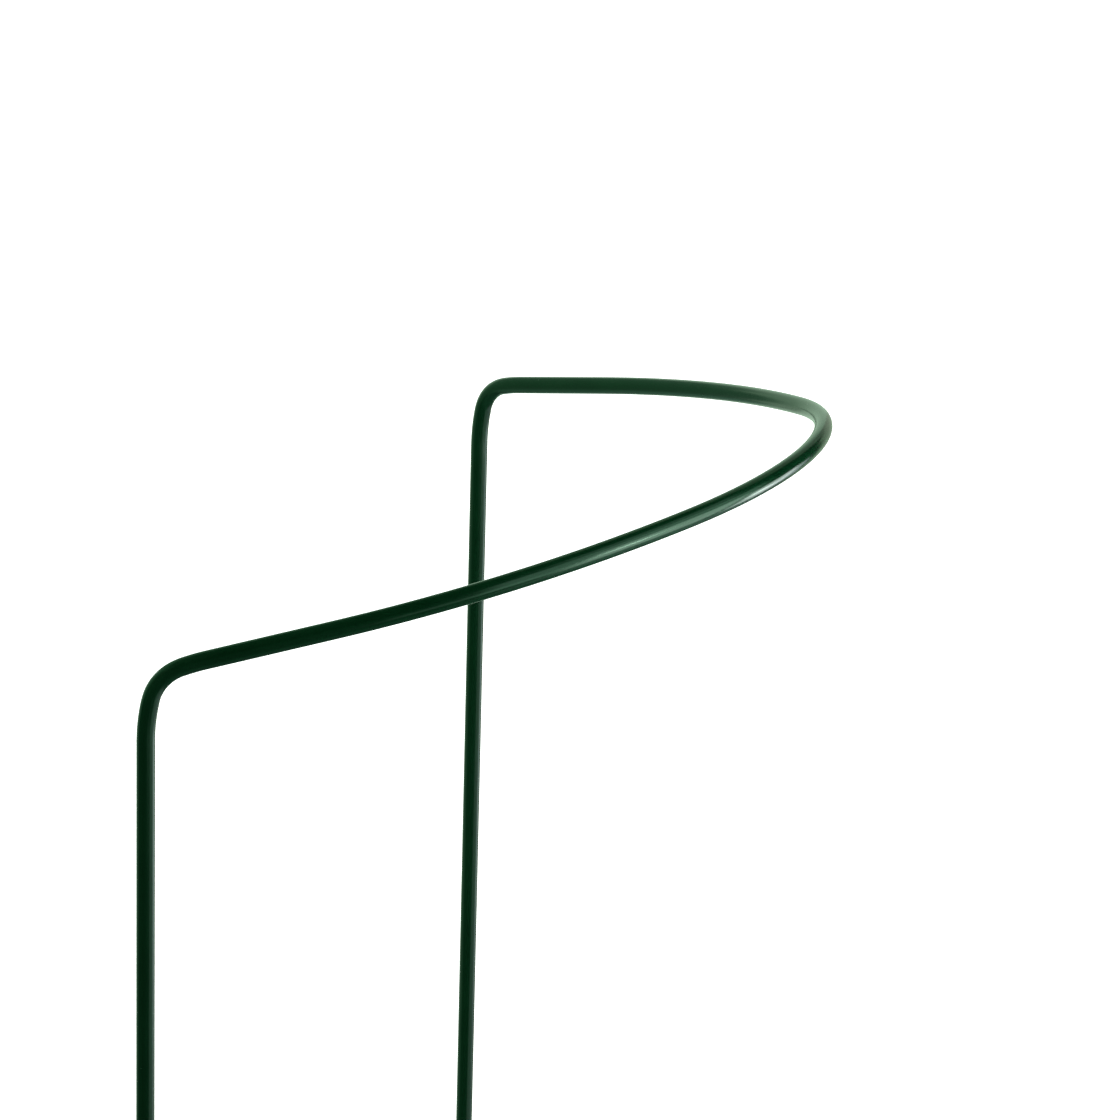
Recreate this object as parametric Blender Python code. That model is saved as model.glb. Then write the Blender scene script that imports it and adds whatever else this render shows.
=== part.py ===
"""Half-round plant support: one bent, plastic-coated steel tube with a moulded point in the foot of each leg.

+Z is up and the bow bulges towards +X. The origin lies on the ground, midway between the two legs.
"""
import math

import bmesh
import bpy
from mathutils import Matrix, Vector

# Driving dimensions, in metres and degrees. The bow and its bends are measured on the centre line.
overall_height = 0.750
leg_spacing = 0.400
bow_rise = 18.4
crown_radius = 0.114
crown_half_angle = 42.5
flank_roll = 6.5
flank_angle = 25.0
bow_end_length = 0.054
bow_ease_radius = 0.095
bow_ease_angle = 6.5
corner_radius = 0.0205
leg_ease_radius = 0.085
leg_ease_angle = 12.5

# The rod's section: a green coat round a steel tube
coat_diameter = 0.008
coat_wall = 0.0005
tube_wall = 0.0008
fit_gap = 0.0003

# The moulded point that closes each foot
point_length = 0.026
point_bulge = 0.0006
point_flat_diameter = 0.003
shoulder_length = 0.004
shank_length = 0.018
shank_chamfer = 0.0006
barb_count = 3
barb_height = 0.0004
barb_length = 0.0030
barb_spacing = 0.0045

# How finely the round shapes are cut
section_sides = 16
crown_step = 6.0
flank_step = 3.5
corner_step = 8.0
ease_step = 3.5
point_rings = 5
leg_ring_spacing = 0.110
smooth_below = 40.0
merge_distance = 0.000001

coat_radius = coat_diameter / 2
tube_radius = coat_radius - coat_wall - fit_gap
bore_radius = tube_radius - tube_wall


def clear_scene():
    """Start from an empty scene."""
    for thing in list(bpy.data.objects):
        bpy.data.objects.remove(thing, do_unlink=True)


def material(name, colour, roughness, metallic):
    """A plain finish in linear colour."""
    finish = bpy.data.materials.new(name)
    finish.use_nodes = True
    shader = finish.node_tree.nodes["Principled BSDF"]
    shader.inputs["Base Color"].default_value = (*colour, 1.0)
    shader.inputs["Roughness"].default_value = roughness
    shader.inputs["Metallic"].default_value = metallic
    return finish


def feed(frame, length):
    """Push a cross-section's frame straight on, along its own Z."""
    return frame @ Matrix.Translation((0.0, 0.0, length))


def bend(frame, radius, angle, axis, step):
    """Carry a section's frame round an arc about axis, with a new frame every step degrees or less."""
    heading = frame.col[2].xyz
    centre = frame.translation + radius * axis.cross(heading)
    count = math.ceil(math.degrees(angle) / step)
    frames = []
    for number in range(1, count + 1):
        turn = Matrix.Rotation(angle * number / count, 4, axis)
        frames.append(Matrix.Translation(centre) @ turn @ Matrix.Translation(-centre) @ frame)
    return frames


def corner_bends(corner_angle):
    """Radius, angle and step of each bend from the bow's end to the leg: an ease, a tight bend, an ease."""
    bow_ease = math.radians(bow_ease_angle)
    leg_ease = math.radians(leg_ease_angle)
    tight_angle = corner_angle - bow_ease - leg_ease
    return [
        (bow_ease_radius, bow_ease, ease_step),
        (corner_radius, tight_angle, corner_step),
        (leg_ease_radius, leg_ease, ease_step),
    ]


def sideways_share(heading, axis, angle):
    """How far along Y a bend of radius 1 carries the line."""
    ahead = math.sin(angle) * heading
    aside = (1 - math.cos(angle)) * axis.cross(heading)
    return (ahead + aside).y


def right_half():
    """Frames along the centre line, from the bow's crown to the right leg's foot, where the coat ends."""
    rise = math.radians(bow_rise)
    outward = Vector((math.cos(rise), 0.0, math.sin(rise)))
    bow_normal = Vector((-math.sin(rise), 0.0, math.cos(rise)))
    sideways = Vector((0.0, 1.0, 0.0))
    down = Vector((0.0, 0.0, -1.0))

    # The rod is rolled between crown and flank, which tips the crown up a little more than the flanks
    crown_turn = math.radians(crown_half_angle)
    flank_turn = math.radians(flank_angle)
    crown_heading = Matrix.Rotation(crown_turn, 3, bow_normal) @ sideways
    flank_axis = Matrix.Rotation(math.radians(flank_roll), 3, crown_heading) @ bow_normal
    end_heading = Matrix.Rotation(flank_turn, 3, flank_axis) @ crown_heading
    corner_angle = end_heading.angle(down)
    corner_axis = end_heading.cross(down).normalized()

    # The flank's radius is the one that brings the leg out at its spacing
    reach = crown_radius * sideways_share(sideways, bow_normal, crown_turn) + bow_end_length * end_heading.y
    heading = end_heading
    for radius, angle, step in corner_bends(corner_angle):
        reach += radius * sideways_share(heading, corner_axis, angle)
        heading = Matrix.Rotation(angle, 3, corner_axis) @ heading
    flank_radius = (leg_spacing / 2 - reach) / sideways_share(crown_heading, flank_axis, flank_turn)

    frames = [Matrix((bow_normal, outward, sideways)).transposed().to_4x4()]
    frames += bend(frames[-1], crown_radius, crown_turn, bow_normal, crown_step)
    frames += bend(frames[-1], flank_radius, flank_turn, flank_axis, flank_step)
    frames.append(feed(frames[-1], bow_end_length))
    for radius, angle, step in corner_bends(corner_angle):
        frames += bend(frames[-1], radius, angle, corner_axis, step)

    crown_height = overall_height - coat_radius
    leg_top = crown_height + frames[-1].translation.z
    leg_length = leg_top - point_length - shoulder_length - fit_gap
    leg_rings = math.ceil(leg_length / leg_ring_spacing)
    leg_start = frames[-1]
    for number in range(1, leg_rings + 1):
        frames.append(feed(leg_start, leg_length * number / leg_rings))

    place = Matrix.Translation((-leg_start.translation.x, 0.0, crown_height))
    return [place @ frame for frame in frames]


def ring(frame, radius, mirrored):
    """The corners of the rod's section at one frame, on the right half or mirrored to the left."""
    points = []
    for number in range(section_sides):
        angle = math.tau * number / section_sides
        point = frame @ Vector((radius * math.cos(angle), radius * math.sin(angle), 0.0))
        if mirrored:
            point.y = -point.y
        points.append(point)
    return points


def whole_line(half, radius):
    """Rings of one radius from the left foot over the bow to the right foot."""
    left = [ring(frame, radius, True) for frame in reversed(half[1:])]
    right = [ring(frame, radius, False) for frame in half]
    return left + right


def skin(shape, first, second):
    """Quads between two rings of corners."""
    for number in range(section_sides):
        after = (number + 1) % section_sides
        shape.faces.new((first[number], first[after], second[after], second[number]))


def finish_object(name, shape, finish, parent):
    """Turn a finished bmesh into a smooth-shaded object with its material."""
    bmesh.ops.recalc_face_normals(shape, faces=shape.faces)
    mesh = bpy.data.meshes.new(name)
    shape.to_mesh(mesh)
    shape.free()
    mesh.shade_smooth()
    mesh.set_sharp_from_angle(angle=math.radians(smooth_below))
    mesh.materials.append(finish)
    thing = bpy.data.objects.new(name, mesh)
    bpy.context.collection.objects.link(thing)
    thing.parent = parent
    return thing


def bent_sleeve(name, half, outer_radius, inner_radius, finish, parent):
    """A sleeve along the whole rod, open at both feet."""
    shape = bmesh.new()
    outer = [[shape.verts.new(point) for point in points] for points in whole_line(half, outer_radius)]
    inner = [[shape.verts.new(point) for point in points] for points in whole_line(half, inner_radius)]
    for wall in (outer, inner):
        for first, second in zip(wall, wall[1:]):
            skin(shape, first, second)
    skin(shape, outer[0], inner[0])
    skin(shape, outer[-1], inner[-1])
    return finish_object(name, shape, finish, parent)


def point_outline():
    """Radius and depth down the point, from its shank's top; depth 0 is the cut end of the coat."""
    barb_radius = bore_radius - fit_gap
    shank_radius = barb_radius - barb_height
    outline = [(0.0, -shank_length), (shank_radius - shank_chamfer, -shank_length)]
    outline.append((shank_radius, -shank_length + shank_chamfer))
    for number in range(barb_count):
        start = -shank_length + 2 * shank_chamfer + number * barb_spacing
        end = start + barb_length
        outline += [(shank_radius, start), (barb_radius, end), (shank_radius, end)]
    outline += [(shank_radius, fit_gap), (coat_radius, fit_gap)]
    cone_start = fit_gap + shoulder_length
    flat_radius = point_flat_diameter / 2
    for number in range(point_rings + 1):
        share = number / point_rings
        straight = coat_radius + (flat_radius - coat_radius) * share
        bulge = point_bulge * math.sin(math.pi * share)
        outline.append((straight + bulge, cone_start + point_length * share))
    outline.append((0.0, cone_start + point_length))
    return outline


def ground_point(name, foot, mirrored, finish, parent):
    """The moulded point in one foot, turned about the leg and set in the foot's own frame."""
    shape = bmesh.new()
    corners = [shape.verts.new((radius, 0.0, depth)) for radius, depth in point_outline()]
    edges = [shape.edges.new(pair) for pair in zip(corners, corners[1:])]
    bmesh.ops.spin(shape, geom=corners + edges, cent=(0.0, 0.0, 0.0), axis=(0.0, 0.0, 1.0),
                   angle=math.tau, steps=section_sides, use_merge=True)
    bmesh.ops.remove_doubles(shape, verts=shape.verts, dist=merge_distance)
    thing = finish_object(name, shape, finish, parent)

    across = foot.col[0].xyz
    centre = foot.translation.copy()
    if mirrored:
        across.y = -across.y
        centre.y = -centre.y
    down = Vector((0.0, 0.0, -1.0))
    thing.rotation_euler = Matrix((across, down.cross(across), down)).transposed().to_euler()
    thing.location = centre
    return thing


clear_scene()
origin = bpy.data.objects.new("support_origin", None)
bpy.context.collection.objects.link(origin)

green_coat = material("green_coat", (0.0030, 0.0260, 0.0110), 0.26, 0.0)
bare_steel = material("bare_steel", (0.4800, 0.4700, 0.4500), 0.42, 1.0)
point_plastic = material("point_plastic", (0.0040, 0.0220, 0.0110), 0.45, 0.0)

half = right_half()
bent_sleeve("plastic_coat", half, coat_radius, coat_radius - coat_wall, green_coat, origin)
bent_sleeve("steel_tube", half, tube_radius, bore_radius, bare_steel, origin)
ground_point("ground_point_left", half[-1], True, point_plastic, origin)
ground_point("ground_point_right", half[-1], False, point_plastic, origin)
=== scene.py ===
# %% [markdown]
# # A half-round plant support
# The real thing is one length of thin steel tube inside a glossy bottle-green polyethylene coat. It is bent
# three times: a tight corner at the top of each leg, and one wide bow between them that rises a little
# towards its crown. A moulded point closes each foot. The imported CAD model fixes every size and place, so
# this lesson starts by loading it, and everything that follows is built in the same metres and the same
# frame.

import math

import bmesh
import bpy
from mathutils import Matrix, Vector


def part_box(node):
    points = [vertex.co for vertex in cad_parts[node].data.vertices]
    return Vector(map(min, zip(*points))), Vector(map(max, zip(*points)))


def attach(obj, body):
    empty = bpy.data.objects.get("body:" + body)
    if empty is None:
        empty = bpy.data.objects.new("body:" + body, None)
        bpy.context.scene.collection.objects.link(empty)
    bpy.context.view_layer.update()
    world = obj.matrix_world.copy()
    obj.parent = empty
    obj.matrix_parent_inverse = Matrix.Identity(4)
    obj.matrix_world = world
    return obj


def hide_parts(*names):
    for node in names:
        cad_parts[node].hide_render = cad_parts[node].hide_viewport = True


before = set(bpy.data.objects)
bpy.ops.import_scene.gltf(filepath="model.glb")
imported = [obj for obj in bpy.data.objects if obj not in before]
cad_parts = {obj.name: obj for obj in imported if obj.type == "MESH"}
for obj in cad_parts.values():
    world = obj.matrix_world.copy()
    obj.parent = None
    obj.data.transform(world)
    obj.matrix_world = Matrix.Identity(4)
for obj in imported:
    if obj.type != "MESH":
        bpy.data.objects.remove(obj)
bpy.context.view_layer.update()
coat_low, coat_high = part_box("plastic_coat")
point_low, point_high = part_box("ground_point_right")
print("CAD nodes:", sorted(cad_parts))
print("coat box:", [round(value, 4) for value in (*coat_low, *coat_high)])
print("point box:", [round(value, 4) for value in (*point_low, *point_high)])

# %% [markdown]
# ## The line that the rod follows
# A bent rod has one honest description: the line through its middle. The bending machine works from a
# straight length, a radius and an angle for each bend, and so does this cell. It could be drawn as a Bezier
# curve by eye, but then the bow would drift off the CAD model, so the line is made by the machine's rule
# instead. The heights and the spacing come from the CAD box. The bends are the rod's own settings.

# %% Bend settings, in metres and degrees
bow_rise = 18.4
crown_radius = 0.114
crown_half_angle = 42.5
flank_roll = 6.5
flank_angle = 25.0
bow_end_length = 0.054
bow_ease_radius = 0.095
bow_ease_angle = 6.5
corner_radius = 0.0205
leg_ease_radius = 0.085
leg_ease_angle = 12.5

coat_radius = 0.0040
coat_wall = 0.0005
tube_wall = 0.0008
fit_gap = 0.0003

crown_height = coat_high.z - coat_radius
leg_spacing = 2 * (coat_high.y - coat_radius)
foot_height = coat_low.z
print("crown", round(crown_height, 4), "legs apart", round(leg_spacing, 4))
print("coat ends at", round(foot_height, 4))


# %% Feed and bend, as the machine does
def feed(section, length):
    """Push a section's frame straight on, along its own Z."""
    return section @ Matrix.Translation((0.0, 0.0, length))


def bend(section, radius, angle, axis, step):
    """Carry a section's frame round an arc about axis, with a new frame every step degrees or less."""
    centre = section.translation + radius * axis.cross(section.col[2].xyz)
    count = math.ceil(math.degrees(angle) / step)
    turns = [Matrix.Rotation(angle * number / count, 4, axis) for number in range(1, count + 1)]
    return [Matrix.Translation(centre) @ turn @ Matrix.Translation(-centre) @ section for turn in turns]


def sideways_share(heading, axis, angle):
    """How far along Y a bend of radius 1 carries the line."""
    ahead = math.sin(angle) * heading
    aside = (1 - math.cos(angle)) * axis.cross(heading)
    return (ahead + aside).y


# %% Straight stretches and corners
crown_step = 1.2
flank_step = 0.6
corner_step = 2.5
ease_step = 0.9
straight_step = 0.012
cut_edge = 0.00012


def straight(section, length):
    """Frames along a straight stretch, one every straight_step or closer."""
    count = math.ceil(length / straight_step)
    return [feed(section, length * number / count) for number in range(1, count + 1)]


def corner_bends(corner_angle):
    """Radius, angle and step of each bend from the bow's end to the leg: an ease, a tight bend, an ease."""
    bow_ease = math.radians(bow_ease_angle)
    leg_ease = math.radians(leg_ease_angle)
    tight_angle = corner_angle - bow_ease - leg_ease
    return [
        (bow_ease_radius, bow_ease, ease_step),
        (corner_radius, tight_angle, corner_step),
        (leg_ease_radius, leg_ease, ease_step),
    ]


# %% The right half of the line
def half_line():
    """Points from the crown of the bow to the foot of the right leg."""
    rise = math.radians(bow_rise)
    outward = Vector((math.cos(rise), 0.0, math.sin(rise)))
    bow_normal = Vector((-math.sin(rise), 0.0, math.cos(rise)))
    sideways = Vector((0.0, 1.0, 0.0))
    down = Vector((0.0, 0.0, -1.0))

    crown_turn = math.radians(crown_half_angle)
    flank_turn = math.radians(flank_angle)
    crown_heading = Matrix.Rotation(crown_turn, 3, bow_normal) @ sideways
    flank_axis = Matrix.Rotation(math.radians(flank_roll), 3, crown_heading) @ bow_normal
    end_heading = Matrix.Rotation(flank_turn, 3, flank_axis) @ crown_heading
    corner_angle = end_heading.angle(down)
    corner_axis = end_heading.cross(down).normalized()

    reach = crown_radius * sideways_share(sideways, bow_normal, crown_turn) + bow_end_length * end_heading.y
    heading = end_heading
    for radius, angle, step in corner_bends(corner_angle):
        reach += radius * sideways_share(heading, corner_axis, angle)
        heading = Matrix.Rotation(angle, 3, corner_axis) @ heading
    flank_radius = (leg_spacing / 2 - reach) / sideways_share(crown_heading, flank_axis, flank_turn)

    sections = [Matrix((bow_normal, outward, sideways)).transposed().to_4x4()]
    sections += bend(sections[-1], crown_radius, crown_turn, bow_normal, crown_step)
    sections += bend(sections[-1], flank_radius, flank_turn, flank_axis, flank_step)
    sections += straight(sections[-1], bow_end_length)
    for radius, angle, step in corner_bends(corner_angle):
        sections += bend(sections[-1], radius, angle, corner_axis, step)
    leg_top = sections[-1]
    leg_length = crown_height + leg_top.translation.z - foot_height
    sections += straight(leg_top, leg_length - cut_edge)
    sections.append(feed(leg_top, leg_length))

    place = Vector((-leg_top.translation.x, 0.0, crown_height))
    return [section.translation + place for section in sections]


# %% The left half mirrors it
right_line = half_line()
left_line = [Vector((point.x, -point.y, point.z)) for point in reversed(right_line[1:])]
rod_line = left_line + right_line
rod_length = sum((after - before).length for before, after in zip(rod_line, rod_line[1:]))
print("rod line:", len(rod_line), "points,", round(rod_length, 4), "m from foot to foot")

# %% [markdown]
# ## Node trees as arithmetic
# Geometry trees and materials are both built from the same small pieces of arithmetic, so one class serves
# both. It wraps an output socket, and adding, multiplying or comparing such a socket adds the matching
# node. That way a formula reads as a formula. Every other node comes from one method, which sets the node
# up and fills its sockets.


# %% A socket that does arithmetic
class Wire:
    """An output socket. Arithmetic on numbers adds Math nodes, and on vectors it adds Vector Math nodes."""

    def __init__(self, socket):
        self.socket = socket

    def join(self, operation, *others):
        """A Math or Vector Math node, by the kind of socket that this is."""
        vector = self.socket.type == "VECTOR"
        tree = self.socket.id_data
        new = tree.nodes.new("ShaderNodeVectorMath" if vector else "ShaderNodeMath")
        new.operation = operation
        values = [self, *others]
        for number, value in enumerate(values):
            target = new.inputs["Scale"] if operation == "SCALE" and number == 1 else new.inputs[number]
            fill(target, value)
        scalar = operation in ("DOT_PRODUCT", "LENGTH")
        return Wire(new.outputs["Value" if scalar or not vector else "Vector"])

    def __add__(self, other):
        return self.join("ADD", other)

    def __radd__(self, other):
        return self.join("ADD", other)

    def __sub__(self, other):
        return self.join("SUBTRACT", other)

    def __rsub__(self, other):
        return self * -1.0 + other

    def __mul__(self, other):
        if self.socket.type == "VECTOR":
            return self.join("SCALE", other)
        return self.join("MULTIPLY", other)

    def __rmul__(self, other):
        return self * other

    def __truediv__(self, other):
        return self.join("DIVIDE", other)

    def __rtruediv__(self, other):
        return self.join("POWER", -1.0) * other

    def __gt__(self, other):
        return self.join("GREATER_THAN", other)

    def __lt__(self, other):
        return self.join("LESS_THAN", other)


def fill(target, value):
    """Link a wire to a socket, or set the socket's own value."""
    if isinstance(value, Wire):
        target.id_data.links.new(value.socket, target)
    else:
        target.default_value = value


# %% One method for every other node
class Tree:
    """A node tree that is being built."""

    def __init__(self, tree):
        self.tree = tree

    def node(self, kind, settings=None, **values):
        """Add a node: settings, then sockets. A key such as input_2 means the socket with that number."""
        new = self.tree.nodes.new(kind)
        for name, value in (settings or {}).items():
            setattr(new, name, value)
        for name, value in values.items():
            key = int(name[6:]) if name.startswith("input_") else name.replace("_", " ")
            fill(new.inputs[key], value)
        return new

    def wire(self, kind, settings=None, output=0, **values):
        """The same, giving back one output as a wire."""
        return Wire(self.node(kind, settings, **values).outputs[output])


# %% [markdown]
# ## One tree for every sleeve
# The coat and the tube are both sleeves along the same line, so one Geometry Nodes tree makes both. The
# surface of a sleeve is a sheet that runs down the outside, turns in at the cut end, comes back up the bore
# and closes on itself. The tree therefore starts with a flat grid, gives each row a point of the line and
# each column an angle, and wraps the sheet round. Curve to Mesh would be quicker, but it makes no bore and
# knows nothing about the bends. This tree also stores how far each place is stretched by bending, which the
# finish needs later.

# %% The sleeve tree: its inputs
sleeve_tree = bpy.data.node_groups.new("bent sleeve", "GeometryNodeTree")
sleeve_tree.interface.new_socket("Line", in_out="INPUT", socket_type="NodeSocketGeometry")
SLEEVE_INPUTS = {
    "Outer radius": "NodeSocketFloat",
    "Wall": "NodeSocketFloat",
    "Cut edge": "NodeSocketFloat",
    "Flattening": "NodeSocketFloat",
    "Sides": "NodeSocketInt",
    "Finish": "NodeSocketMaterial",
}
for socket_name, socket_type in SLEEVE_INPUTS.items():
    sleeve_tree.interface.new_socket(socket_name, in_out="INPUT", socket_type=socket_type)
sleeve_tree.interface.new_socket("Sleeve", in_out="OUTPUT", socket_type="NodeSocketGeometry")

# %% The sleeve tree: rows along the line, columns round it
# The rows run down the outside and back up the bore, and the last row lies on the first
shortest_step = 0.000001
merge_distance = 0.000001
sleeve_sharp_angle = math.radians(38)

build = Tree(sleeve_tree)
given = build.node("NodeGroupInput").outputs
line = build.wire("GeometryNodeMeshToCurve", Mesh=Wire(given["Line"]))
line_size = build.node("GeometryNodeAttributeDomainSize", {"component": "CURVE"}, Geometry=line)
line_points = Wire(line_size.outputs["Point Count"])
row_count = line_points * 2.0 + 1.0
column_count = Wire(given["Sides"]) + 1.0
grid = build.wire("GeometryNodeMeshGrid", Vertices_X=row_count, Vertices_Y=column_count)

corner_number = build.wire("GeometryNodeInputIndex")
row = (corner_number / column_count).join("FLOOR")
column = corner_number - row * column_count
turned_back = row > line_points - 0.5
closing = row > line_points * 2.0 - 0.5
back_row = line_points * 2.0 - 1.0 - row
inside = turned_back - closing
station = row * (1.0 - turned_back) + back_row * inside
angle = column / Wire(given["Sides"]) * math.tau


# %% The sleeve tree: what the line says at each row
def at_station(value, place, kind="FLOAT_VECTOR"):
    """A value of the line at one of its points, for every corner of the grid."""
    settings = {"data_type": kind, "domain": "POINT"}
    return build.wire("GeometryNodeSampleIndex", settings, Geometry=line, Value=value, Index=place)


here = at_station(build.wire("GeometryNodeInputPosition"), station)
across = at_station(build.wire("GeometryNodeInputNormal"), station)
tangent_field = build.wire("GeometryNodeInputTangent")
heading = at_station(tangent_field, station)
beside = heading.join("CROSS_PRODUCT", across)
length_field = build.wire("GeometryNodeSplineParameter", output="Length")
along = at_station(length_field, station, "FLOAT")

before = (station - 1.0).join("MAXIMUM", 0.0)
after = (station + 1.0).join("MINIMUM", line_points - 1.0)
heading_change = at_station(tangent_field, after) - at_station(tangent_field, before)
length_change = at_station(length_field, after, "FLOAT") - at_station(length_field, before, "FLOAT")
curvature = heading_change * (1.0 / length_change.join("MAXIMUM", shortest_step))

# %% The sleeve tree: wrap the grid, store its maps, finish it
outward = across * angle.join("COSINE") + beside * angle.join("SINE")
end_row = (station < 0.5) + (station > line_points - 1.5)
outer_radius = Wire(given["Outer radius"]) - end_row * Wire(given["Cut edge"])
bore_radius = Wire(given["Outer radius"]) - Wire(given["Wall"])
radius = outer_radius * (1.0 - inside) + bore_radius * inside
stretch = outward.join("DOT_PRODUCT", curvature) * radius * -1.0

bend_plane = curvature.join("NORMALIZE")
towards_bend = outward.join("DOT_PRODUCT", bend_plane)
bend_share = curvature.join("LENGTH") * Wire(given["Outer radius"])
squeeze = towards_bend * towards_bend * bend_share * Wire(given["Flattening"])
place = here + outward * (radius * (1.0 - squeeze))

sheet = build.wire("GeometryNodeSetPosition", Geometry=grid, Position=place)
on_points = {"data_type": "FLOAT_VECTOR", "domain": "POINT"}
rod_map = build.wire("ShaderNodeCombineXYZ", X=along, Y=angle / math.tau)
rod_map = build.wire("GeometryNodeFieldOnDomain", on_points, Value=rod_map)
sheet = build.wire("GeometryNodeStoreNamedAttribute", {"data_type": "FLOAT2", "domain": "CORNER"},
                   Geometry=sheet, Name="rod map", Value=rod_map)
sheet = build.wire("GeometryNodeStoreNamedAttribute", {"data_type": "FLOAT", "domain": "POINT"},
                   Geometry=sheet, Name="stretch", Value=stretch)
sheet = build.wire("GeometryNodeMergeByDistance", Geometry=sheet, Distance=merge_distance)
sheet = build.wire("GeometryNodeFlipFaces", Mesh=sheet)
sheet = build.wire("GeometryNodeSetShadeSmooth", {"domain": "FACE"}, Geometry=sheet)
edge_angle = build.wire("GeometryNodeInputMeshEdgeAngle")
sharp = edge_angle > sleeve_sharp_angle
sheet = build.wire("GeometryNodeSetShadeSmooth", {"domain": "EDGE"}, Geometry=sheet, Selection=sharp,
                   Shade_Smooth=False)
sheet = build.wire("GeometryNodeRealizeInstances", Geometry=sheet)
sheet = build.wire("GeometryNodeSetMaterial", Geometry=sheet, Material=Wire(given["Finish"]))
build.node("NodeGroupOutput", Sleeve=sheet)
print("sleeve tree:", len(sleeve_tree.nodes), "nodes")


# %% [markdown]
# ## Turning a tree into a plain mesh
# The export keeps meshes, not trees, so each piece made by nodes is evaluated once and copied out. The host
# object holds nothing but the line, as a chain of edges. Its modifier gets its values by the sockets'
# identifiers before anything is evaluated, and the host goes away when its mesh has been taken.

# %% Evaluate a tree on a line
def link(name, mesh):
    """A new object in the scene, at the origin."""
    thing = bpy.data.objects.new(name, mesh)
    bpy.context.scene.collection.objects.link(thing)
    return thing


def line_mesh(points):
    """A chain of edges through the points."""
    mesh = bpy.data.meshes.new("line")
    mesh.from_pydata([tuple(point) for point in points], [(n, n + 1) for n in range(len(points) - 1)], [])
    return mesh


def made_by_nodes(name, tree, host_mesh, values):
    """Run a geometry tree on a mesh and give back its result as an object with a plain mesh."""
    host = link(name + " host", host_mesh)
    modifier = host.modifiers.new("nodes", "NODES")
    modifier.node_group = tree
    sockets = {item.name: item.identifier for item in tree.interface.items_tree if item.in_out == "INPUT"}
    for socket_name, value in values.items():
        modifier[sockets[socket_name]] = value
    bpy.context.view_layer.update()
    evaluated = host.evaluated_get(bpy.context.evaluated_depsgraph_get())
    mesh = bpy.data.meshes.new_from_object(evaluated)
    mesh.name = name
    host.modifiers.remove(modifier)
    bpy.data.objects.remove(host)
    return link(name, mesh)


# %% Measure a piece
def measure(thing):
    """Print a piece's size, faces and volume. A negative volume would mean that its faces point inwards."""
    shape = bmesh.new()
    shape.from_mesh(thing.data)
    volume = shape.calc_volume(signed=True)
    open_edges = sum(1 for edge in shape.edges if not edge.is_manifold)
    triangles = sum(len(face.verts) - 2 for face in shape.faces)
    shape.free()
    size = [round(side * 1000, 1) for side in thing.dimensions]
    volume_mm3 = round(volume * 1e9, 1)
    print(thing.name, size, "mm,", triangles, "triangles,", volume_mm3, "mm3,", open_edges, "open edges")


# %% [markdown]
# ## The green coat's finish
# The coat is polyethylene run onto the tube through a die. It is dark bottle green and shiny, but not a
# mirror: the die leaves faint lines along the rod, the skin has a very fine orange peel, and where the rod
# is bent sharply the outside of the coat is drawn thin and turns a little paler. Handling adds a few pale
# specks. All of it follows the rod, so the finish reads the map that the tree stored, which gives metres
# along the rod and the share of a turn round it. A texture projected from one side would slide across the
# bends.

# %% A material and its wires
def new_finish(name, **constants):
    """A material with one Principled shader, whose constants are set on its own sockets."""
    finish = bpy.data.materials.new(name)
    finish.use_nodes = True
    build = Tree(finish.node_tree)
    shader = finish.node_tree.nodes["Principled BSDF"]
    for socket_name, value in constants.items():
        shader.inputs[socket_name.replace("_", " ")].default_value = value
    return finish, build, shader


def mix_colour(build, share, first, second):
    """A colour between two others."""
    settings = {"data_type": "RGBA", "blend_type": "MIX"}
    return build.wire("ShaderNodeMix", settings, output=2, input_0=share, input_6=first, input_7=second)


def noise(build, where, scale, detail=2.0, roughness=0.5, distortion=0.0):
    """Smooth noise between 0 and 1."""
    settings = {"noise_dimensions": "3D"}
    return build.wire("ShaderNodeTexNoise", settings, Vector=where, Scale=scale, Detail=detail,
                      Roughness=roughness, Distortion=distortion)


def ramp(build, value, low, high):
    """0 below low, 1 above high, and a smooth step between."""
    settings = {"interpolation_type": "SMOOTHSTEP"}
    return build.wire("ShaderNodeMapRange", settings, Value=value, From_Min=low, From_Max=high)


def rod_places(build, radius, along_share):
    """Places on the straightened rod, so that no pattern has a seam. A small share draws patterns out."""
    unrolled = build.node("ShaderNodeUVMap", {"uv_map": "rod map"})
    parts = build.node("ShaderNodeSeparateXYZ", Vector=Wire(unrolled.outputs[0]))
    along = Wire(parts.outputs["X"])
    turn = Wire(parts.outputs["Y"]) * math.tau
    return build.wire("ShaderNodeCombineXYZ", X=turn.join("COSINE") * radius, Y=turn.join("SINE") * radius,
                      Z=along * along_share)


# %% The coat's colours, and its places on the straightened rod
deep_green = (0.0011, 0.0172, 0.0047, 1.0)
pale_green = (0.0022, 0.0255, 0.0074, 1.0)
drawn_green = (0.0016, 0.0205, 0.0058, 1.0)
green_gloss = (0.54, 1.0, 0.62, 1.0)
speck_grey = (0.1200, 0.1700, 0.1300, 1.0)
polyethylene_ior = 1.50
coat_along_share = 0.02

green_coat, build, shader = new_finish("green_coat", IOR=polyethylene_ior, Metallic=0.0,
                                       Specular_Tint=green_gloss)
true_places = rod_places(build, coat_radius, 1.0)
drawn_places = rod_places(build, coat_radius, coat_along_share)
stretched = build.wire("ShaderNodeAttribute", {"attribute_name": "stretch"}, output="Fac")

# %% The coat's patterns, in features per metre
cloud_scale = 55.0
die_line_scale = 2600.0
peel_scale = 800.0
speck_scale = 260.0
speck_threshold = 0.93

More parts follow.
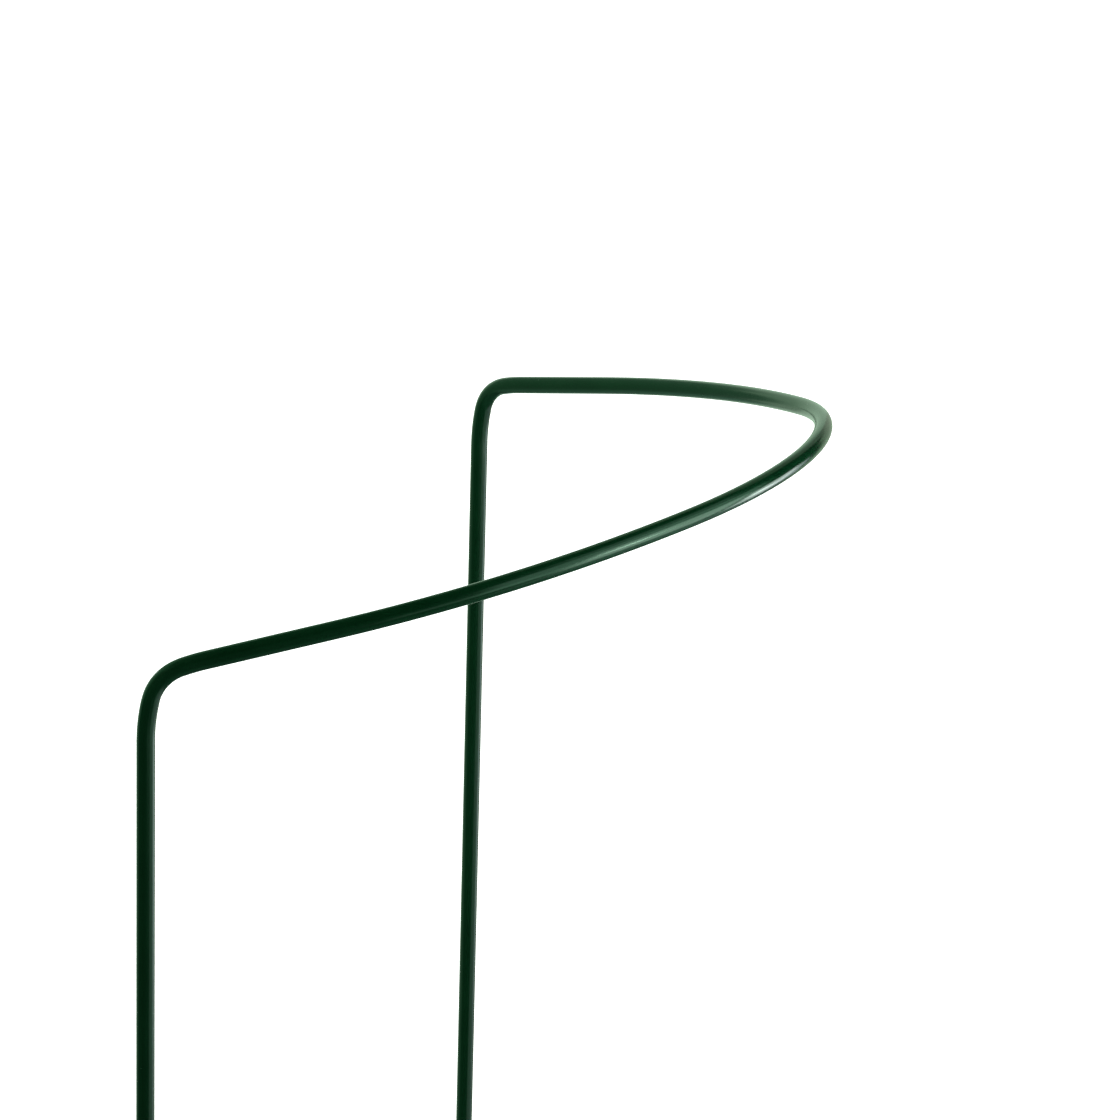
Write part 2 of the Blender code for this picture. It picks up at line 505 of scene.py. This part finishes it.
cloud = noise(build, true_places, cloud_scale, 3.0)
die_lines = noise(build, drawn_places, die_line_scale, 2.0, 0.6)
peel = noise(build, true_places, peel_scale, 2.0)
speck_cells = build.node("ShaderNodeTexVoronoi", {"feature": "F1"}, Vector=true_places, Scale=speck_scale)
speck_share = 1.0 - ramp(build, Wire(speck_cells.outputs["Distance"]), 0.03, 0.07)
speck_choice = build.node("ShaderNodeSeparateColor", Color=Wire(speck_cells.outputs["Color"]))
specks = speck_share * (Wire(speck_choice.outputs[0]) > speck_threshold)

# %% The patterns in the coat's colour and gloss
coat_roughness = 0.182
cloud_roughness = 0.02
line_roughness = 0.02
speck_roughness = 0.25
pale_share = 0.45
drawn_share = 0.7
speck_paleness = 0.35

colour = mix_colour(build, ramp(build, cloud, 0.30, 0.75) * pale_share, deep_green, pale_green)
colour = mix_colour(build, ramp(build, stretched, 0.03, 0.20) * drawn_share, colour, drawn_green)
colour = mix_colour(build, specks * speck_paleness, colour, speck_grey)
fill(shader.inputs["Base Color"], colour)
clouded = coat_roughness + ramp(build, cloud, 0.35, 0.8) * cloud_roughness
lined = clouded + ramp(build, die_lines, 0.4, 0.8) * line_roughness
fill(shader.inputs["Roughness"], lined + specks * speck_roughness)

# %% The coat's relief, in metres
peel_height = 0.0000022
line_height = 0.0000012
relief = peel * peel_height + die_lines * line_height
fill(shader.inputs["Normal"], build.wire("ShaderNodeBump", Height=relief, Distance=1.0, Strength=1.0))
print("green coat finish:", len(green_coat.node_tree.nodes), "nodes")

# %% [markdown]
# ## The steel tube's finish
# Only a sliver of the tube shows, in the narrow gap above each moulded point, yet it is a real part and the
# export shows it by itself. It is bare welded tube: bright drawing lines along its length, a film of oil
# that makes it blotchy, and one straight weld seam with a faint purplish heat tint.

# %% Drawn steel
steel_bright = (0.560, 0.545, 0.520, 1.0)
steel_dull = (0.330, 0.320, 0.305, 1.0)
weld_tint = (0.300, 0.270, 0.330, 1.0)
seam_turn = 0.25
tube_along_share = 0.01
drawing_line_scale = 3200.0
oil_scale = 70.0
steel_roughness = 0.30
drawing_line_roughness = 0.12
oil_roughness = 0.10
dull_share = 0.6
weld_share = 0.5
drawing_line_height = 0.000003
seam_height = 0.000015

bare_steel, build, shader = new_finish("bare_steel", Metallic=1.0)
tube_radius = coat_radius - coat_wall - fit_gap
drawn_places = rod_places(build, tube_radius, tube_along_share)
true_places = rod_places(build, tube_radius, 1.0)
drawn_lines = noise(build, drawn_places, drawing_line_scale, 3.0, 0.6)
oil_film = noise(build, true_places, oil_scale, 3.0)
unrolled = build.node("ShaderNodeUVMap", {"uv_map": "rod map"})
turn_share = Wire(build.node("ShaderNodeSeparateXYZ", Vector=Wire(unrolled.outputs[0])).outputs["Y"])
seam = 1.0 - ramp(build, (turn_share - seam_turn).join("ABSOLUTE"), 0.015, 0.05)
colour = mix_colour(build, ramp(build, drawn_lines, 0.3, 0.7) * dull_share, steel_bright, steel_dull)
colour = mix_colour(build, seam * weld_share, colour, weld_tint)
fill(shader.inputs["Base Color"], colour)
lined = steel_roughness + drawn_lines * drawing_line_roughness
fill(shader.inputs["Roughness"], lined + ramp(build, oil_film, 0.4, 0.7) * oil_roughness)
relief = drawn_lines * drawing_line_height + seam * seam_height
fill(shader.inputs["Normal"], build.wire("ShaderNodeBump", Height=relief, Distance=1.0, Strength=1.0))
print("bare steel finish:", len(bare_steel.node_tree.nodes), "nodes")

# %% [markdown]
# ## The two sleeves
# With the line, the tree and the finishes ready, each sleeve is one call. A tube that is bent round a tight
# corner goes slightly oval, which is what the flattening value is for.

# %% Coat and tube along the line
bend_flattening = 0.15
coat_sides = 48
tube_sides = 32

coat_values = {
    "Outer radius": coat_radius,
    "Wall": coat_wall,
    "Cut edge": cut_edge,
    "Flattening": bend_flattening,
    "Sides": coat_sides,
    "Finish": green_coat,
}
tube_values = {
    "Outer radius": tube_radius,
    "Wall": tube_wall,
    "Cut edge": cut_edge,
    "Flattening": bend_flattening,
    "Sides": tube_sides,
    "Finish": bare_steel,
}
coat = made_by_nodes("green_coat_sleeve", sleeve_tree, line_mesh(rod_line), coat_values)
tube = made_by_nodes("bare_steel_tube", sleeve_tree, line_mesh(rod_line), tube_values)
for sleeve in (coat, tube):
    measure(sleeve)

# %% [markdown]
# ## The moulded points
# The photograph ends above the feet, so the points follow the CAD model: a blunt cone under a short collar,
# with a barbed shank up inside the tube. A real one comes out of a two-part mould, which leaves a fine
# raised line down both sides, and the collar's upper edge is rounded. The shape is turned: an outline spun
# about the leg. It is done by hand here rather than with a Screw modifier, so that the radius can swell at
# the two mould lines.

# %% The outline of a point, down from the top of its shank
point_flat_radius = 0.0015
point_bulge = 0.0006
shoulder_length = 0.004
shank_length = 0.018
shank_chamfer = 0.0006
barb_count = 3
barb_height = 0.0004
barb_length = 0.0030
barb_spacing = 0.0045
edge_round = 0.00035
collar_edge = 0.0004
edge_steps = 5
cone_steps = 24

point_top = foot_height - fit_gap
point_length = point_top - shoulder_length - point_low.z


def rounded(side_radius, depth):
    """A quarter round on an outer edge, from a face across the leg to its side."""
    points = []
    for number in range(edge_steps + 1):
        turn = math.pi / 2 * number / edge_steps
        inset = edge_round * (1 - math.sin(turn))
        points.append((side_radius - inset, depth + edge_round * (1 - math.cos(turn))))
    return points


def point_outline():
    """Radius and depth below the cut end of the coat, from the shank's top down to the blunt tip."""
    barb_radius = tube_radius - tube_wall - fit_gap
    shank_radius = barb_radius - barb_height
    outline = [(0.0, -shank_length), (shank_radius - shank_chamfer, -shank_length)]
    outline.append((shank_radius, -shank_length + shank_chamfer))
    for number in range(barb_count):
        start = -shank_length + 2 * shank_chamfer + number * barb_spacing
        end = start + barb_length
        outline += [(shank_radius, start), (barb_radius, end), (shank_radius, end)]
    outline.append((shank_radius, fit_gap))
    outline += rounded(coat_radius, fit_gap)
    cone_start = fit_gap + shoulder_length
    outline.append((coat_radius, cone_start - collar_edge))
    for number in range(cone_steps + 1):
        share = number / cone_steps
        straight_radius = coat_radius + (point_flat_radius - coat_radius) * share
        bulge = point_bulge * math.sin(math.pi * share)
        outline.append((straight_radius + bulge, cone_start + point_length * share))
    outline.append((0.0, cone_start + point_length))
    return outline


# %% [markdown]
# ### Spinning the outline
# The columns stand closer together at the two mould lines, so that a ridge about a quarter of a millimetre
# wide keeps its shape. The ridges end at the blunt tip.

# %% Columns round the leg, and the mould lines
line_rise = 0.00007
line_width = 0.00022
line_steepness = 1.6
line_columns = (-2.0, -1.2, -0.7, -0.35, 0.35, 0.7, 1.2, 2.0)
coarse_columns = 56
depth_tolerance = 0.00001
point_sharp_angle = math.radians(32)


def column_angles():
    """Angles round the leg, with extra ones close to the mould lines at 0 and 180 degrees."""
    angles = {math.tau * number / coarse_columns for number in range(coarse_columns)}
    for middle in (0.0, math.pi):
        for share in line_columns:
            angles.add((middle + share * line_width / coat_radius) % math.tau)
    return sorted(angles)


def mould_line(angle, depth):
    """How far the surface stands out at this place."""
    if depth < fit_gap:
        return 0.0
    away = min(angle % math.pi, math.pi - angle % math.pi) * coat_radius
    return line_rise * math.exp(-(away / line_width * line_steepness) ** 2)


# %% Spin the outline about the leg
def point_rings(shape, side):
    """Rings of corners for the point on that side, from the top of its shank to its tip."""
    leg_y = side * leg_spacing / 2
    tip_depth = fit_gap + shoulder_length + point_length
    angles = column_angles()
    rings = []
    for radius, depth in point_outline():
        height = foot_height - depth
        if radius == 0.0:
            rings.append([shape.verts.new((0.0, leg_y, height))])
            continue
        at_tip = depth > tip_depth - depth_tolerance
        ring = []
        for angle in angles:
            lifted = radius + (0.0 if at_tip else mould_line(angle, depth))
            place = (lifted * math.cos(angle), leg_y + lifted * math.sin(angle), height)
            ring.append(shape.verts.new(place))
        rings.append(ring)
    return rings


def skin(shape, rings):
    """Faces between each ring and the next. The two end rings are single corners."""
    for first, second in zip(rings, rings[1:]):
        count = max(len(first), len(second))
        for number in range(count):
            after = (number + 1) % count
            corners = [first[number % len(first)], first[after % len(first)]]
            corners += [second[after % len(second)], second[number % len(second)]]
            shape.faces.new(list(dict.fromkeys(corners)))


def ground_point(name, side, finish):
    """One moulded point, in the foot of the leg on that side."""
    shape = bmesh.new()
    skin(shape, point_rings(shape, side))
    bmesh.ops.recalc_face_normals(shape, faces=shape.faces)
    mesh = bpy.data.meshes.new(name)
    shape.to_mesh(mesh)
    shape.free()
    mesh.shade_smooth()
    mesh.set_sharp_from_angle(angle=point_sharp_angle)
    mesh.materials.append(finish)
    return link(name, mesh)


# %% [markdown]
# ### The points' finish
# The points are moulded from the same green polyethylene, but the steel of a mould is left slightly rough,
# so they are duller than the coat. Faint rings of flow run round them, and the mould's grain shows close
# up. Each piece sits at the origin unturned, so object coordinates are safe to use.

# %% Moulded polyethylene
moulded_green = (0.0012, 0.0260, 0.0090, 1.0)
flow_green = (0.0035, 0.0400, 0.0150, 1.0)
flow_flatness = 0.15
flow_scale = 900.0
grain_scale = 5200.0
scuff_scale = 420.0
moulded_roughness = 0.36
grain_roughness = 0.10
scuff_roughness = 0.12
flow_share = 0.5
grain_height = 0.0000035
flow_height = 0.0000030

point_plastic, build, shader = new_finish("point_plastic", IOR=polyethylene_ior, Metallic=0.0,
                                          Specular_Tint=green_gloss)
places = build.wire("ShaderNodeTexCoord", output="Object")
parts = build.node("ShaderNodeSeparateXYZ", Vector=places)
depth_places = build.wire("ShaderNodeCombineXYZ", X=Wire(parts.outputs["X"]) * flow_flatness,
                          Y=Wire(parts.outputs["Y"]) * flow_flatness, Z=Wire(parts.outputs["Z"]))
flow = noise(build, depth_places, flow_scale, 2.0, 0.5, 0.4)
grain = noise(build, places, grain_scale, 2.0, 0.7)
scuff = noise(build, places, scuff_scale, 4.0, 0.65)
colour = mix_colour(build, ramp(build, flow, 0.35, 0.7) * flow_share, moulded_green, flow_green)
fill(shader.inputs["Base Color"], colour)
grained = moulded_roughness + grain * grain_roughness
fill(shader.inputs["Roughness"], grained + ramp(build, scuff, 0.5, 0.75) * scuff_roughness)
relief = grain * grain_height + flow * flow_height
fill(shader.inputs["Normal"], build.wire("ShaderNodeBump", Height=relief, Distance=1.0, Strength=1.0))
print("moulded point finish:", len(point_plastic.node_tree.nodes), "nodes")

# %% A point in each foot
points = {
    "ground_point_left": ground_point("moulded_point_left", -1, point_plastic),
    "ground_point_right": ground_point("moulded_point_right", 1, point_plastic),
}
for point in points.values():
    measure(point)

# %% [markdown]
# ## Handing the pieces to the frame
# Nothing on this support moves, so every piece rides on the one body, root. Each new piece names the CAD
# node that it stands for, and that node is hidden.

# %% Ride and replace
pieces = {"plastic_coat": (coat, "green_coat"), "steel_tube": (tube, "bare_steel")}
for node_name, point in points.items():
    pieces[node_name] = (point, "point_plastic")
for node_name, (piece, slot_name) in pieces.items():
    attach(piece, "root")
    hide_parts(node_name)

# %% [markdown]
# ## Where the camera stands
# The photograph was taken from some way off with a long lens, looking down at about 21 degrees, and the
# picture is turned very slightly. The numbers come from fitting the bent line to its image, so the bow and
# both legs fall where the photograph has them.

# %% Camera
look_at = Vector((0.1152, -0.0089, 0.6808))
view_azimuth = 19.171
view_elevation = 20.935
view_roll = 1.600
view_distance = 2.6087
lens = 190.56
sensor_width = 36.0

azimuth = math.radians(view_azimuth)
elevation = math.radians(view_elevation)
level_share = math.cos(elevation)
forward = Vector((-math.sin(azimuth) * level_share, math.cos(azimuth) * level_share, -math.sin(elevation)))
level = forward.cross(Vector((0.0, 0.0, 1.0))).normalized()
turned = Matrix((level, level.cross(forward), -forward)).transposed()
turned = turned @ Matrix.Rotation(math.radians(view_roll), 3, "Z")
camera_data = bpy.data.cameras.new("camera")
camera_data.sensor_width = sensor_width
camera_data.lens = lens
camera = link("camera", camera_data)
camera.matrix_world = Matrix.Translation(look_at - view_distance * forward) @ turned.to_4x4()
bpy.context.scene.camera = camera
print("camera at", [round(value, 3) for value in camera.location])

# %% [markdown]
# ## The studio
# The support stands on white paper in a white surround, so the picture has no horizon. The paper glows a
# little by itself, which keeps it white at any distance. The rod sees neither of them: what a glossy rod
# mirrors decides how it looks, and here only the softboxes do that. Bright ones stand to the right, one
# behind another, and draw the pale line along the bow and the legs. The two brightest make the white core
# of that line. Large dim ones fill in the rest, the camera's side stays nearly dark, and the matt fill,
# which is hidden from reflections, lights the green alone. The boxes' tints differ slightly, as the lamps
# and walls of a real studio do. The boxes' numbers weren't chosen by hand: a program fitted them to the
# photograph's shading by least squares. The row "low front" was added, and the radiances of
# "strip far", "behind" and "left" and all the tints were then changed.

# %% Paper floor
paper_size = 60.0
paper_grey = (0.80, 0.80, 0.80, 1.0)
paper_glow = 0.97
pure_white = (1.0, 1.0, 1.0, 1.0)

paper, build, shader = new_finish("white_paper", Roughness=0.9)
shader.inputs["Base Color"].default_value = paper_grey
shader.inputs["Specular IOR Level"].default_value = 0.0
shader.inputs["Emission Color"].default_value = pure_white
shader.inputs["Emission Strength"].default_value = paper_glow
shape = bmesh.new()
bmesh.ops.create_grid(shape, x_segments=4, y_segments=4, size=paper_size / 2)
paper_mesh = bpy.data.meshes.new("paper_floor")
shape.to_mesh(paper_mesh)
shape.free()
paper_mesh.materials.append(paper)
floor = link("paper_floor", paper_mesh)
floor.visible_diffuse = False
floor.visible_glossy = False
floor.visible_shadow = False

# %% White surround
world = bpy.data.worlds.new("white_surround")
bpy.context.scene.world = world
world.use_nodes = True
world.node_tree.nodes["Background"].inputs["Color"].default_value = pure_white
world.cycles_visibility.diffuse = False
world.cycles_visibility.glossy = False
bpy.context.scene.view_settings.view_transform = "Standard"

# %% Where the softboxes stand
# Azimuth from +Y towards +X and elevation in degrees, distance, width and height in metres, radiance, tint
stage_middle = Vector((0.1, 0.0, 0.55))
from_strips = (1.20, 1.0, 1.23)
from_far = (1.00, 1.0, 1.15)
from_right = (0.95, 1.0, 1.15)
from_behind = (0.80, 1.0, 0.76)
from_left = (0.55, 1.0, 0.75)
from_room = (0.75, 1.0, 0.78)
from_floor = (0.45, 1.0, 0.75)
white = (1.0, 1.0, 1.0)
SOFTBOXES = {
    "strip far": (47.9, -15.0, 4.74, 1.81, 1.93, 2.300, from_far),
    "strip middle": (76.5, 11.2, 0.38, 0.17, 0.26, 5.479, from_strips),
    "strip near": (116.4, 21.8, 0.32, 0.18, 0.24, 3.380, from_strips),
    "hot tube": (71.2, -7.0, 1.10, 0.23, 0.22, 12.660, from_strips),
    "upper": (117.4, 25.2, 0.42, 0.44, 0.38, 1.357, from_right),
    "top right": (109.8, 52.2, 1.48, 0.88, 0.79, 0.732, from_right),
    "low right": (76.0, -37.0, 1.88, 2.73, 1.26, 0.673, from_right),
    "behind": (-22.0, -10.2, 2.80, 5.89, 3.35, 0.720, from_behind),
    "left": (-58.7, 0.4, 0.65, 1.90, 1.80, 0.340, from_left),
    "upper left": (-123.8, 42.0, 2.68, 1.46, 0.58, 0.150, from_floor),
    "matt fill": (-94.4, 38.0, 2.15, 5.56, 2.60, 2.344, white),
    "front": (180.4, -23.7, 2.00, 5.73, 4.25, 0.093, from_floor),
    "above": (-5.9, 43.9, 2.25, 1.59, 1.80, 0.439, from_room),
    "below": (-96.0, -81.1, 2.35, 4.12, 3.97, 0.196, from_floor),
    "hot core": (118.4, 4.7, 1.11, 0.10, 0.13, 24.641, from_strips),
    "low front": (138.0, -6.5, 1.20, 0.62, 0.42, 0.560, from_right),
}


def softbox(name, azimuth, elevation, distance, width, height, radiance, colour):
    """A rectangle of even light that faces the middle of the stage."""
    turn = math.radians(azimuth)
    tilt = math.radians(elevation)
    away = Vector((math.sin(turn) * math.cos(tilt), math.cos(turn) * math.cos(tilt), math.sin(tilt)))
    side = Vector((math.cos(turn), -math.sin(turn), 0.0))
    light = bpy.data.lights.new(name, "AREA")
    light.shape = "RECTANGLE"
    light.size = width
    light.size_y = height
    light.energy = radiance * math.pi * width * height
    light.color = colour
    thing = link(name, light)
    facing = Matrix((side, away.cross(side), away)).transposed()
    thing.matrix_world = Matrix.Translation(stage_middle + distance * away) @ facing.to_4x4()
    thing.visible_camera = False
    return thing


boxes = {box_name: softbox(box_name, *settings) for box_name, settings in SOFTBOXES.items()}
boxes["matt fill"].visible_glossy = False
print(len(SOFTBOXES), "softboxes")
